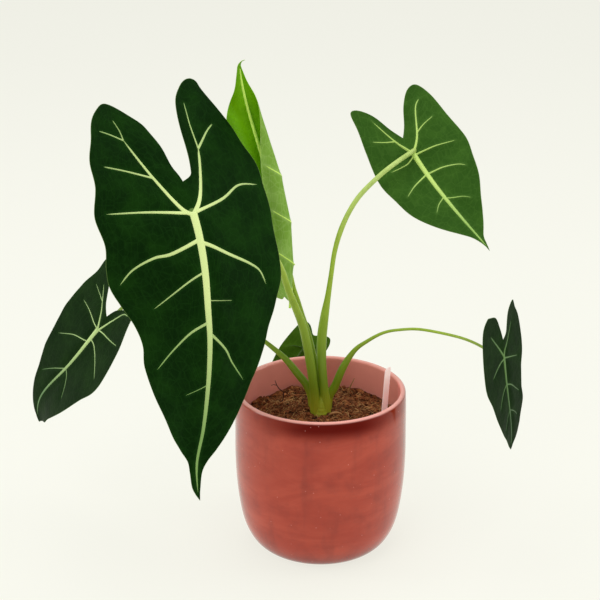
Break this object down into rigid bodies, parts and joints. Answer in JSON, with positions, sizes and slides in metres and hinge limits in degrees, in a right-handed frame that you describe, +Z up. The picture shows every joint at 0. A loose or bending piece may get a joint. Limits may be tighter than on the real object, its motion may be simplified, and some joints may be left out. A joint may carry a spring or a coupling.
{
  "type": "potted alocasia",
  "caption": "Potted alocasia with arrow-shaped dark green leaves and pale raised veins on bent stalks, in a rounded red glazed pot filled with soil.",
  "frame": {"origin": "centre of the pot's flat underside", "axes": "+Z up the pot's axis; -Y towards the side seen in the picture, +X to that view's right"},
  "size_m": [0.4189, 0.26, 0.4093],
  "materials": {
    "pot_glaze": "satin coral-red glaze, inside and out",
    "soil": "loose dark potting soil with fine pale fibres",
    "crown": "matt yellow-green crown with brown old leaf bases",
    "stalk": "smooth pale yellow-green, slightly waxy",
    "blade": "velvety very dark green above, paler green beneath",
    "young_blade": "bright fresh green, half rolled, pale grey-green beneath",
    "label": "plain white plastic, bare"
  },
  "bodies": {
    "root": {"pot": "pot_glaze", "soil": "soil", "crown_and_roots": "crown", "leaf_a_stalk_and_veins": "stalk", "leaf_a_blade": "blade", "leaf_b_stalk_and_veins": "stalk", "leaf_b_blade": "young_blade", "leaf_c_stalk_and_veins": "stalk", "leaf_c_blade": "blade", "leaf_d_stalk_and_veins": "stalk", "leaf_d_blade": "blade", "leaf_e_stalk_and_veins": "stalk", "leaf_e_blade": "blade", "leaf_f_stalk_and_veins": "stalk", "leaf_f_blade": "blade", "plant_label": "label"}
  },
  "joints": []
}
